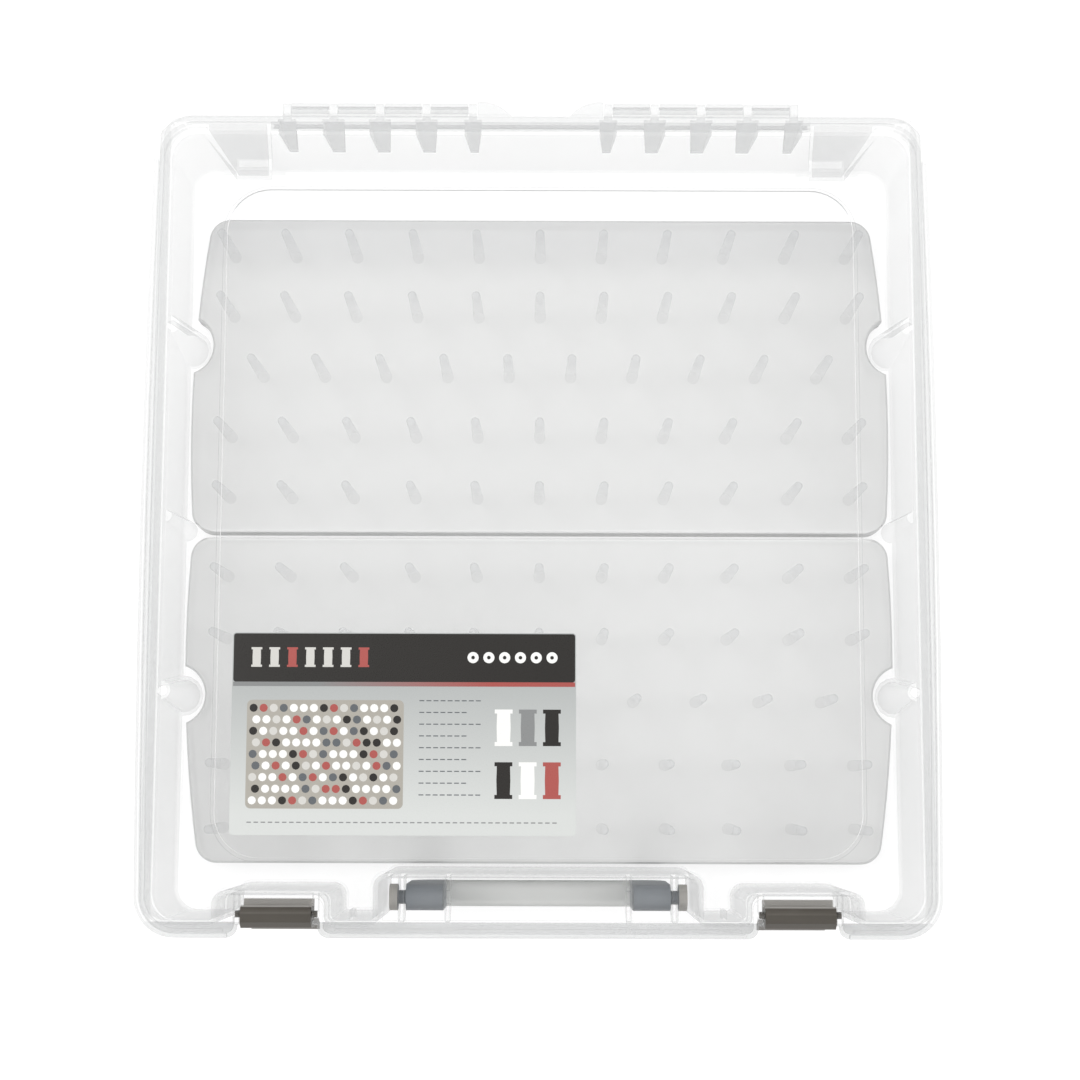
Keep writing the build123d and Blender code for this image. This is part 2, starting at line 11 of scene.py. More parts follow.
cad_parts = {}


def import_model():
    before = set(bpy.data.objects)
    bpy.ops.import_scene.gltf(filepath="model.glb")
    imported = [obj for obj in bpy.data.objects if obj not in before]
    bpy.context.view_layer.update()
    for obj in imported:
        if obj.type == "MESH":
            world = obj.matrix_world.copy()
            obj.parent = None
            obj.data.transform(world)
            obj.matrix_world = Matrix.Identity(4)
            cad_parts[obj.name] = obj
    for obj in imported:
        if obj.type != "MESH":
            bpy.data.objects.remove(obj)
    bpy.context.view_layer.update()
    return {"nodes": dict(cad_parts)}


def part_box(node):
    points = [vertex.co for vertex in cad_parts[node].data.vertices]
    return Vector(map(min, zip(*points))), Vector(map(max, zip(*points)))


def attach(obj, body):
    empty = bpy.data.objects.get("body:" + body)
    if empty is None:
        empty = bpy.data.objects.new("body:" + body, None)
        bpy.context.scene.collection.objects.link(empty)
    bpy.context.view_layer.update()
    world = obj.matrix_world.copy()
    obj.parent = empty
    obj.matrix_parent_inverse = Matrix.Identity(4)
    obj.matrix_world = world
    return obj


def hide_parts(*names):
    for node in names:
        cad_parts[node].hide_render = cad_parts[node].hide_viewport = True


log = logging.getLogger("thread_box")

MM = 0.001
POLYPROPYLENE_IOR = 1.49
BLACK = (0.0, 0.0, 0.0)
# The noise values between which a finish goes from its least to its most.
GRAIN_ENDS = (0.3, 0.7)
FLOW_ENDS = (0.35, 0.65)
# The numbers of the colour sockets of a Mix node that blends colours.
MIX_LOW, MIX_HIGH, MIX_RESULT = 6, 7, 2

# Zones of the shell in millimetres of its own space. Side is the distance from the middle plane.
SHELL_ZONES = {
    "rib": {"Side_To": 123.0, "Y_From": 178.3, "Y_To": 184.6, "Z_To": 54.0},
    "hinge": {"Side_To": 123.0, "Y_From": 184.6},
    "box": {"Side_From": 123.5, "Side_To": 154.0, "Y_From": 171.5, "Y_To": 178.4, "Z_From": 3.6, "Z_To": 57.0},
    "screen": {"Y_From": 175.5, "Y_To": 178.2, "Z_From": 60.5, "Z_To": 86.9},
    "sides": {"Side_From": 169.3, "Z_From": 50.0, "Z_To": 62.0},
    "front": {"Y_To": -178.3, "Z_From": 50.0, "Z_To": 62.0},
    "back": {"Side_To": 123.5, "Y_From": 178.3, "Z_From": 56.5, "Z_To": 62.0},
    "edge": {"Side_From": 118.0, "Y_From": 182.4, "Z_From": 54.0, "Z_To": 62.0},
    "crease": {"Side_To": 138.5, "Y_From": -151.0, "Y_To": 142.0, "Z_From": 87.6, "Z_To": 88.9},
}

Colour = tuple[float, ...]
Span = tuple[float, float]
Point = tuple[float, float]
Outline = list[Point]
Group = bpy.types.ShaderNodeTree
Socket = bpy.types.NodeSocket


class Axis(Enum):
    """The shader sockets' axes, by the number of their output."""

    X = 0
    Y = 1
    Z = 2


class Ink(Enum):
    """The printed colours of the label, as linear red, green and blue."""

    BLACK = (0.012, 0.010, 0.008)
    BEIGE = (0.36, 0.34, 0.30)
    GREY = (0.22, 0.225, 0.225)
    SILVER = (0.56, 0.55, 0.52)
    WHITE = (0.80, 0.80, 0.78)
    BRICK = (0.36, 0.075, 0.065)
    SLATE = (0.10, 0.11, 0.12)


# ---------------------------------------------------------------- shader effects
def new_group(name: str, inputs: dict[str, float], outputs: tuple[str, ...]) -> Group:
    """Makes an empty shader node group with float inputs and outputs.

    Args:
        name: The group's name.
        inputs: Each input's name and its value where none is given.
        outputs: The names of the outputs.

    Returns:
        The group, with its input and output nodes in place.
    """
    tree = bpy.data.node_groups.new(name, "ShaderNodeTree")
    for label, value in inputs.items():
        socket = tree.interface.new_socket(name=label, in_out="INPUT", socket_type="NodeSocketFloat")
        socket.default_value = value
    for label in outputs:
        tree.interface.new_socket(name=label, in_out="OUTPUT", socket_type="NodeSocketFloat")
    tree.nodes.new("NodeGroupInput")
    tree.nodes.new("NodeGroupOutput")
    return tree


def group_ends(tree: Group) -> tuple[bpy.types.Node, bpy.types.Node]:
    """Returns a group's input node and its output node."""
    start = next(n for n in tree.nodes if n.bl_idname == "NodeGroupInput")
    end = next(n for n in tree.nodes if n.bl_idname == "NodeGroupOutput")
    return start, end


@dataclass
class Effects:
    """The shader groups that several finishes share, each built once."""

    noise_roughness: float = 0.55
    frost: Group = field(init=False)
    wall_shade: Group = field(init=False)
    zone: Group = field(init=False)

    def __post_init__(self) -> None:
        """Builds the groups."""
        self.frost = self._build_frost()
        self.wall_shade = self._build_wall_shade()
        self.zone = self._build_zone()

    def _build_frost(self) -> Group:
        """Builds the fine mottling of moulded plastic.

        Returns:
            A group whose Fine output is a small grain, and whose Flow output is a slow cloudiness.
        """
        tree = new_group("moulded_frost", {"Grain Scale": 900.0, "Flow Scale": 9.0}, ("Fine", "Flow"))
        start, end = group_ends(tree)
        place = tree.nodes.new("ShaderNodeTexCoord")
        for source, target, detail in (("Grain Scale", "Fine", 2.0), ("Flow Scale", "Flow", 3.0)):
            noise = tree.nodes.new("ShaderNodeTexNoise")
            noise.inputs["Detail"].default_value = detail
            noise.inputs["Roughness"].default_value = self.noise_roughness
            tree.links.new(place.outputs["Object"], noise.inputs["Vector"])
            tree.links.new(start.outputs[source], noise.inputs["Scale"])
            tree.links.new(noise.outputs["Fac"], end.inputs[target])
        return tree

    def _build_wall_shade(self) -> Group:
        """Builds a mask that is 1 on upright walls and 0 on flat faces.

        Returns:
            A group with one output, Upright, which is eased by the input Softness.
        """
        tree = new_group("upright_walls", {"Softness": 0.35}, ("Upright",))
        start, end = group_ends(tree)
        facing = tree.nodes.new("ShaderNodeNewGeometry")
        split = tree.nodes.new("ShaderNodeSeparateXYZ")
        size = tree.nodes.new("ShaderNodeMath")
        size.operation = "ABSOLUTE"
        ease = tree.nodes.new("ShaderNodeMapRange")
        ease.inputs["From Min"].default_value = 1.0
        ease.inputs["To Min"].default_value = 0.0
        ease.inputs["To Max"].default_value = 1.0
        tree.links.new(facing.outputs["Normal"], split.inputs["Vector"])
        tree.links.new(split.outputs["Z"], size.inputs[0])
        tree.links.new(size.outputs["Value"], ease.inputs["Value"])
        tree.links.new(start.outputs["Softness"], ease.inputs["From Max"])
        tree.links.new(ease.outputs["Result"], end.inputs["Upright"])
        return tree

    def _build_zone(self) -> Group:
        """Builds a mask that is 1 inside a box of the piece's own space, the same on both sides of X.

        Returns:
            A group with one output, Inside, and an input for each limit of the box.
        """
        limits = {"Side From": 0.0, "Side To": 1.0, "Y From": -1.0, "Y To": 1.0, "Z From": -1.0, "Z To": 1.0}
        tree = new_group("moulding_zone", limits, ("Inside",))
        start, end = group_ends(tree)
        place = tree.nodes.new("ShaderNodeTexCoord")
        split = tree.nodes.new("ShaderNodeSeparateXYZ")
        side = tree.nodes.new("ShaderNodeMath")
        side.operation = "ABSOLUTE"
        tree.links.new(place.outputs["Object"], split.inputs["Vector"])
        tree.links.new(split.outputs["X"], side.inputs[0])
        inside = None
        for value, label in ((side.outputs[0], "Side"), (split.outputs["Y"], "Y"), (split.outputs["Z"], "Z")):
            for operation, limit in (("GREATER_THAN", "From"), ("LESS_THAN", "To")):
                test = tree.nodes.new("ShaderNodeMath")
                test.operation = operation
                tree.links.new(value, test.inputs[0])
                tree.links.new(start.outputs[f"{label} {limit}"], test.inputs[1])
                if inside is None:
                    inside = test.outputs[0]
                    continue
                both = tree.nodes.new("ShaderNodeMath")
                both.operation = "MULTIPLY"
                tree.links.new(inside, both.inputs[0])
                tree.links.new(test.outputs[0], both.inputs[1])
                inside = both.outputs[0]
        tree.links.new(inside, end.inputs["Inside"])
        return tree


@dataclass
class Bench:
    """A material under construction: its nodes, and the calls that add more of them."""

    name: str
    material: bpy.types.Material = field(init=False)
    shader: bpy.types.Node = field(init=False)

    def __post_init__(self) -> None:
        """Makes the material with its Principled shader."""
        self.material = bpy.data.materials.new(self.name)
        self.material.use_nodes = True
        self.shader = next(n for n in self.material.node_tree.nodes if n.bl_idname == "ShaderNodeBsdfPrincipled")

    def node(self, kind: str) -> bpy.types.Node:
        """Adds a node of a kind and returns it."""
        return self.material.node_tree.nodes.new(kind)

    def link(self, source: Socket, target: Socket) -> None:
        """Joins an output to an input."""
        self.material.node_tree.links.new(source, target)

    def place(self, tree: Group, **values: float) -> bpy.types.Node:
        """Places a shared group with its own values.

        Args:
            tree: The group.
            values: Input values, named with underscores for spaces.

        Returns:
            The group's node.
        """
        node = self.node("ShaderNodeGroup")
        node.node_tree = tree
        for name, value in values.items():
            node.inputs[name.replace("_", " ")].default_value = value
        return node

    def mix(self, share: Socket, low: Socket | Colour, high: Socket | Colour) -> Socket:
        """Blends two colours by a share and returns the colour's socket."""
        node = self.node("ShaderNodeMix")
        node.data_type = "RGBA"
        for number, colour in ((MIX_LOW, low), (MIX_HIGH, high)):
            if isinstance(colour, tuple):
                node.inputs[number].default_value = (*colour, 1.0)
            else:
                self.link(colour, node.inputs[number])
        self.link(share, node.inputs[0])
        return node.outputs[MIX_RESULT]

    def along(self, axis: Axis, span: Span) -> Socket:
        """Returns a share that goes from 0 to 1 between two places on an axis of the piece's own space."""
        place = self.node("ShaderNodeTexCoord")
        split = self.node("ShaderNodeSeparateXYZ")
        self.link(place.outputs["Object"], split.inputs["Vector"])
        return self.ramp(split.outputs[axis.value], (*span, 0.0, 1.0))

    def ramp(self, value: Socket, ends: tuple[float, float, float, float]) -> Socket:
        """Maps a value from the first two of four ends to the last two, and returns the socket."""
        node = self.node("ShaderNodeMapRange")
        for name, number in zip(("From Min", "From Max", "To Min", "To Max"), ends):
            node.inputs[name].default_value = number
        self.link(value, node.inputs["Value"])
        return node.outputs["Result"]

    def math(self, operation: str, first: Socket, second: Socket | float) -> Socket:
        """Adds a Math node, held between 0 and 1, and returns its socket."""
        node = self.node("ShaderNodeMath")
        node.operation = operation
        node.use_clamp = True
        self.link(first, node.inputs[0])
        if isinstance(second, float):
            node.inputs[1].default_value = second
        else:
            self.link(second, node.inputs[1])
        return node.outputs[0]

    def roughen(self, grain: Socket, level: float, below: float, above: float) -> None:
        """Feeds a grain to the shader's roughness, from a little below a level to a little above it."""
        self.link(self.ramp(grain, (*GRAIN_ENDS, level - below, level + above)), self.shader.inputs["Roughness"])

    def bump(self, height: Socket, strength: float, distance: float = 0.2 * MM) -> None:
        """Feeds a height through a Bump node to the shader's normal."""
        node = self.node("ShaderNodeBump")
        node.inputs["Strength"].default_value = strength
        node.inputs["Distance"].default_value = distance
        self.link(height, node.inputs["Height"])
        self.link(node.outputs["Normal"], self.shader.inputs["Normal"])


# ---------------------------------------------------------------- finishes
@dataclass(frozen=True)
class FrostedShell:
    """Thin translucent polypropylene: nearly clear face on, milky along walls, rims and ribs, with walls and rim
    painted grey as shade, and a painted highlight on the crease.
    """

    name: str = "frosted_shell"
    face: Colour = (0.90, 0.905, 0.905)
    # Painted shade: this colour greys the upright walls and the rim.
    shaded_wall: Colour = (0.60, 0.61, 0.61)
    rib: Colour = (0.52, 0.535, 0.54)
    # Painted highlight: the pale line colour and the glowing glint mark the crease's near part; its far part is
    # painted grey as shade.
    line: Colour = (0.88, 0.88, 0.88)
    shaded_far_line: Colour = (0.60, 0.605, 0.605)
    glint: Colour = (0.22, 0.22, 0.22)
    clear_alpha: float = 0.012
    milky_alpha: Span = (0.27, 0.40)
    wall_alpha: float = 0.13
    side_alpha: float = 0.12
    front_alpha: float = 0.28
    back_alpha: float = 0.20
    edge_alpha: float = 0.24
    rib_alpha: float = 0.50
    box_alpha: float = 0.14
    hinge_alpha: float = 0.18
    crease_alpha: float = 0.95
    cloud_alpha: float = 0.012
    screen_share: float = 0.12
    specular: float = 0.45
    roughness: float = 0.32
    wall_softness: float = 0.30
    milky_span: Span = (120.0 * MM, -60.0 * MM)
    lit_span: Span = (134.0 * MM, 130.0 * MM)
    edge_blend: float = 0.32
    turned_ends: Span = (0.15, 0.95)
    faced_end: float = 0.55

    def build(self, effects: Effects) -> bpy.types.Material:
        """Builds the material.

        Args:
            effects: The shared groups.

        Returns:
            The finished material.
        """
        bench = Bench(self.name)
        shader = bench.shader
        shader.inputs["IOR"].default_value = POLYPROPYLENE_IOR
        shader.inputs["Specular IOR Level"].default_value = self.specular
        frost = bench.place(effects.frost, Grain_Scale=1400.0, Flow_Scale=11.0)
        upright = bench.place(effects.wall_shade, Softness=self.wall_softness).outputs["Upright"]
        zone = {}
        for name, limits in SHELL_ZONES.items():
            metres = {limit: value * MM for limit, value in limits.items()}
            zone[name] = bench.place(effects.zone, **metres).outputs["Inside"]
        rim = zone["sides"]
        for name in ("front", "back", "edge"):
            rim = bench.math("MAXIMUM", rim, zone[name])
        crease = bench.math("MULTIPLY", zone["crease"], upright)
        dense = bench.math("MAXIMUM", zone["rib"], zone["box"])
        # Painted shade: upright walls and the rim are painted grey.
        colour = bench.mix(bench.math("MAXIMUM", upright, rim), self.face, self.shaded_wall)
        colour = bench.mix(dense, colour, self.rib)
        # Painted highlight on the crease's near part, pale and glowing; its far part is painted grey as shade.
        lit = bench.along(Axis.Y, self.lit_span)
        bench.link(bench.mix(crease, colour, bench.mix(lit, self.shaded_far_line, self.line)), shader.inputs["Base Color"])
        glint = bench.math("MULTIPLY", crease, lit)
        bench.link(bench.mix(glint, BLACK, self.glint), shader.inputs["Emission Color"])
        shader.inputs["Emission Strength"].default_value = 1.0
        bench.roughen(frost.outputs["Fine"], self.roughness, below=0.07, above=0.09)
        edge = bench.node("ShaderNodeLayerWeight")
        edge.inputs["Blend"].default_value = self.edge_blend
        milky = bench.ramp(bench.along(Axis.Y, self.milky_span), (0.0, 1.0, *self.milky_alpha))
        turned = bench.ramp(edge.outputs["Facing"], (*self.turned_ends, 0.0, 1.0))
        faced = bench.math("MULTIPLY", upright, bench.ramp(turned, (0.0, self.faced_end, 1.0, 0.0)))
        screened = bench.math("MULTIPLY", turned, bench.ramp(zone["screen"], (0.0, 1.0, 1.0, self.screen_share)))
        alpha = bench.math("MAXIMUM", bench.math("MULTIPLY", screened, milky), self.clear_alpha)
        alpha = bench.math("ADD", alpha, bench.math("MULTIPLY", faced, self.wall_alpha))
        cloud = bench.ramp(frost.outputs["Flow"], (*FLOW_ENDS, 0.0, self.cloud_alpha))
        alpha = bench.math("ADD", alpha, cloud)
        for mask, least in (
            (zone["sides"], self.side_alpha),
            (zone["front"], self.front_alpha),
            (zone["back"], self.back_alpha),
            (zone["edge"], self.edge_alpha),
            (zone["rib"], self.rib_alpha),
            (zone["box"], self.box_alpha),
            (zone["hinge"], self.hinge_alpha),
            (crease, self.crease_alpha),
        ):
            alpha = bench.math("MAXIMUM", alpha, bench.math("MULTIPLY", mask, least))
        bench.link(alpha, shader.inputs["Alpha"])
        bench.bump(frost.outputs["Fine"], strength=0.05)
        return bench.material


@dataclass(frozen=True)
class MilkyTray:
    """Translucent polypropylene of the trays: a milky grey, painted darker on walls and at the back as shade, with
    a clear seam painted light.
    """

    name: str = "milky_tray"
    face: Colour = (0.80, 0.802, 0.797)
    # Painted shade on the upright walls and towards the back; the seam colour is painted light.
    shaded_wall: Colour = (0.74, 0.745, 0.745)
    far_shade: Colour = (0.73, 0.733, 0.733)
    seam: Colour = (0.92, 0.92, 0.92)
    alpha: float = 0.76
    cloudiness: float = 0.03
    seam_share: float = 0.2
    roughness: float = 0.42
    far_span: Span = (118.0 * MM, 138.0 * MM)
    seam_span: Span = (-4.0 * MM, 3.0 * MM)
    wall_softness: float = 0.4
    seam_softness: float = 0.75

    def build(self, effects: Effects) -> bpy.types.Material:
        """Builds the material.

        Args:
            effects: The shared groups.

        Returns:
            The finished material.
        """
        bench = Bench(self.name)
        shader = bench.shader
        shader.inputs["IOR"].default_value = POLYPROPYLENE_IOR
        frost = bench.place(effects.frost, Grain_Scale=1100.0, Flow_Scale=7.0)
        upright = bench.place(effects.wall_shade, Softness=self.wall_softness).outputs["Upright"]
        # Painted shade: darker towards the back and on upright walls.
        shade = bench.mix(bench.along(Axis.Y, self.far_span), self.face, self.far_shade)
        colour = bench.mix(upright, shade, self.shaded_wall)
        # Painted light: the seam between the trays is painted pale, and made clearer.
        strip = bench.place(effects.zone, Y_From=self.seam_span[0], Y_To=self.seam_span[1]).outputs["Inside"]
        sloping = bench.place(effects.wall_shade, Softness=self.seam_softness).outputs["Upright"]
        seam = bench.math("MULTIPLY", strip, sloping)
        bench.link(bench.mix(seam, colour, self.seam), shader.inputs["Base Color"])
        bench.roughen(frost.outputs["Fine"], self.roughness, below=0.06, above=0.08)
        least, most = self.alpha - self.cloudiness, self.alpha + self.cloudiness
        cloud = bench.ramp(frost.outputs["Flow"], (*FLOW_ENDS, least, most))
        thinned = bench.ramp(seam, (0.0, 1.0, 1.0, self.seam_share))
        bench.link(bench.math("MULTIPLY", cloud, thinned), shader.inputs["Alpha"])
        bench.bump(frost.outputs["Fine"], strength=0.06)
        return bench.material


@dataclass(frozen=True)
class PegPlastic:
    """The pegs' thin tapered polypropylene: faint where a peg leaves the plate, denser at its tip."""

    name: str = "peg_plastic"
    foot: Colour = (0.74, 0.745, 0.755)
    tip: Colour = (0.60, 0.61, 0.625)
    rise: Span = (17.0 * MM, 58.0 * MM)
    foot_alpha: float = 0.10
    tip_alpha: float = 0.22
    roughness: float = 0.42

    def build(self, effects: Effects) -> bpy.types.Material:
        """Builds the material.

        Args:
            effects: The shared groups.

        Returns:
            The finished material.
        """
        bench = Bench(self.name)
        shader = bench.shader
        shader.inputs["IOR"].default_value = POLYPROPYLENE_IOR
        frost = bench.place(effects.frost, Grain_Scale=1100.0, Flow_Scale=120.0)
        rise = bench.along(Axis.Z, self.rise)
        bench.link(bench.mix(rise, self.foot, self.tip), shader.inputs["Base Color"])
        bench.roughen(frost.outputs["Fine"], self.roughness, below=0.06, above=0.08)
        bench.link(bench.ramp(rise, (0.0, 1.0, self.foot_alpha, self.tip_alpha)), shader.inputs["Alpha"])
        bench.bump(frost.outputs["Fine"], strength=0.06)
        return bench.material


@dataclass(frozen=True)
class MouldedPlastic:
    """Opaque moulded plastic, with a fine grain and edges worn a little paler.

    It is painted paler in one zone, as painted light where milky layers of the case lie over it in the photograph.
    """

    name: str
    colour: Colour
    worn: Colour
    roughness: float
    pale: Colour = BLACK
    painted_light_zone: tuple[tuple[str, float], ...] = ()
    wear_ends: Span = (0.50, 0.62)
    wear_share: float = 0.8

    def build(self, effects: Effects) -> bpy.types.Material:
        """Builds the material.

        Args:
            effects: The shared groups.

        Returns:
            The finished material.
        """
        bench = Bench(self.name)
        frost = bench.place(effects.frost, Grain_Scale=2200.0, Flow_Scale=60.0)
        edges = bench.node("ShaderNodeNewGeometry")
        wear = bench.ramp(edges.outputs["Pointiness"], (*self.wear_ends, 0.0, self.wear_share))
        patchy = bench.math("MULTIPLY", wear, frost.outputs["Flow"])
        colour = bench.mix(patchy, self.colour, self.worn)
        # Painted light: one zone is painted paler where the case's milky layers lie over the part.
        if self.painted_light_zone:
            zone = bench.place(effects.zone, **dict(self.painted_light_zone))
            colour = bench.mix(zone.outputs["Inside"], colour, self.pale)
        bench.link(colour, bench.shader.inputs["Base Color"])
        bench.roughen(frost.outputs["Fine"], self.roughness, below=0.06, above=0.08)
        bench.bump(frost.outputs["Fine"], strength=0.10)
        return bench.material


@dataclass(frozen=True)
class PrintedInk:
    """A printed colour on the label's gloss film, with a slow and slight haze."""

    ink: Ink
    roughness: float = 0.30
    lift: float = 1.08
    haze: float = 0.004

    def build(self, effects: Effects) -> bpy.types.Material:
        """Builds the material.

        Args:
            effects: The shared groups.

        Returns:
            The finished material.
        """
        bench = Bench(f"ink_{self.ink.name.lower()}")
        frost = bench.place(effects.frost, Grain_Scale=3000.0, Flow_Scale=25.0)
        pale = tuple(min(1.0, c * self.lift + self.haze) for c in self.ink.value)
        bench.link(bench.mix(frost.outputs["Flow"], self.ink.value, pale), bench.shader.inputs["Base Color"])
        bench.roughen(frost.outputs["Fine"], self.roughness, below=0.05, above=0.06)
        return bench.material


@dataclass(frozen=True)
class FadingInk:
    """A print that fades from one colour to another along the label, to suit its line and its ground."""

    name: str
    axis: Axis
    span: Span
    first: Colour
    last: Colour
    roughness: float = 0.30

    def build(self, effects: Effects) -> bpy.types.Material:
        """Builds the material.

        Args:
            effects: The shared groups.

        Returns:
            The finished material.
        """
        bench = Bench(self.name)
        frost = bench.place(effects.frost, Grain_Scale=3000.0, Flow_Scale=25.0)
        share = bench.along(self.axis, self.span)
        bench.link(bench.mix(share, self.first, self.last), bench.shader.inputs["Base Color"])
        bench.roughen(frost.outputs["Fine"], self.roughness, below=0.05, above=0.06)
        return bench.material


@dataclass
class Finishes:
    """Every finish of the box, built once."""

    effects: Effects
    shell: bpy.types.Material = field(init=False)
    tray: bpy.types.Material = field(init=False)
    peg: bpy.types.Material = field(init=False)
    latch: bpy.types.Material = field(init=False)
    handle: bpy.types.Material = field(init=False)
    grip: bpy.types.Material = field(init=False)
    inks: dict[Ink, bpy.types.Material] = field(init=False)

    def __post_init__(self) -> None:
        """Builds the materials."""
        self.shell = FrostedShell().build(self.effects)
        self.tray = MilkyTray().build(self.effects)
        self.peg = PegPlastic().build(self.effects)
        self.latch = MouldedPlastic(
            name="warm_dark_plastic",
            colour=(0.062, 0.054, 0.043),
            worn=(0.16, 0.145, 0.125),
            roughness=0.40,
            # Painted light: paler where the case's milky layers lie over the latch.
            pale=(0.42, 0.40, 0.375),
            painted_light_zone=(("Y_From", -171.4 * MM),),
        ).build(self.effects)
        self.handle = MouldedPlastic(
            name="slate_plastic",
            colour=(0.175, 0.192, 0.212),
            worn=(0.31, 0.325, 0.34),
            roughness=0.45,
            # Painted light: paler beyond 62 mm from the middle, where the case's milky layers lie over the handle.
            pale=(0.37, 0.355, 0.33),
            painted_light_zone=(("Side_From", 62.0 * MM),),
        ).build(self.effects)
        self.grip = MouldedPlastic(
            name="grip_plastic", colour=(0.59, 0.60, 0.585), worn=(0.68, 0.68, 0.67), roughness=0.5
        ).build(self.effects)
        self.inks = {ink: PrintedInk(ink).build(self.effects) for ink in Ink}


# ---------------------------------------------------------------- meshes
def flat_piece(
    name: str, outlines: list[Outline], low: float, high: float, material: bpy.types.Material
) -> bpy.types.Object:
    """Makes thin closed plates from outlines in the XY plane.

    Args:
        name: The piece's name.
        outlines: Each plate's corners in order, counter-clockwise, in metres.
        low: Height of the underside.
        high: Height of the top.
        material: The finish.

    Returns:
        The new object, at the origin.
    """
    points, faces = [], []
    for outline in outlines:
        count, first = len(outline), len(points)
        points += [(x, y, low) for x, y in outline] + [(x, y, high) for x, y in outline]
        faces.append(list(range(first + count - 1, first - 1, -1)))
        faces.append(list(range(first + count, first + 2 * count)))
        for k in range(count):
            after = (k + 1) % count
            faces.append([first + k, first + after, first + count + after, first + count + k])
    mesh = bpy.data.meshes.new(name)
    mesh.from_pydata(points, [], faces)
    mesh.materials.append(material)
    piece = bpy.data.objects.new(name, mesh)
    bpy.context.scene.collection.objects.link(piece)
    return piece


def rounded_box(low: Point, high: Point, radius: float, steps: int = 8) -> Outline:
    """Returns the corners of a rounded rectangle, counter-clockwise, with some steps in each rounding."""
    centres = (
        (high[0] - radius, high[1] - radius, 0.0),
        (low[0] + radius, high[1] - radius, 90.0),
        (low[0] + radius, low[1] + radius, 180.0),
        (high[0] - radius, low[1] + radius, 270.0),
    )
    points = []
    for x, y, start in centres:
        for k in range(steps + 1):
            angle = math.radians(start + 90.0 * k / steps)
            points.append((x + radius * math.cos(angle), y + radius * math.sin(angle)))
    return points


def spool_outline(x: float, y: float, width: float, height: float) -> Outline:
    """Returns the side view of a thread spool: two flanges and a waist wound full of thread."""
    w, h = width / 2, height / 2
    flange, waist = h * 0.22, w * 0.74
    belly = waist * 1.06
    right = [(w, -h), (w, -h + flange), (waist, -h + flange), (belly, 0.0), (waist, h - flange), (w, h - flange)]
    shape = right + [(w, h)] + [(-a, -b) for a, b in right] + [(-w, -h)]
    return [(x + a, y + b) for a, b in shape]


def disc_outline(x: float, y: float, radius: float, sides: int = 20) -> Outline:
    """Returns a circle's corners, counter-clockwise."""
    turn = math.tau / sides
    return [(x + radius * math.cos(k * turn), y + radius * math.sin(k * turn)) for k in range(sides)]


def dash_outline(x: float, y: float, width: float, height: float) -> Outline:
    """Returns the corners of a stitch whose lower left corner is at x and y, counter-clockwise."""
    return [(x, y), (x + width, y), (x + width, y + height), (x, y + height)]


# ---------------------------------------------------------------- the box
@dataclass
class CadPieces:
    """The moulded parts that come from the CAD model and get a finish here."""

    nodes: dict[str, bpy.types.Object]
    finishes: Finishes

    def dress(self) -> None:
        """Gives each moulded part its finish."""
        table = {
            "base": self.finishes.shell,
            "lid": self.finishes.shell,
            "latch_left": self.finishes.latch,
            "latch_right": self.finishes.latch,
            "handle_arm_left": self.finishes.handle,
            "handle_arm_right": self.finishes.handle,
            "handle_grip": self.finishes.grip,
            "upper_tray": self.finishes.tray,
            "lower_tray": self.finishes.tray,
            "upper_tray_pegs": self.finishes.peg,
            "lower_tray_pegs": self.finishes.peg,
        }
        for name, material in table.items():
            node = self.nodes[name]
            node.data.materials.clear()
            node.data.materials.append(material)
            log.info("dressed %s in %s", name, material.name)


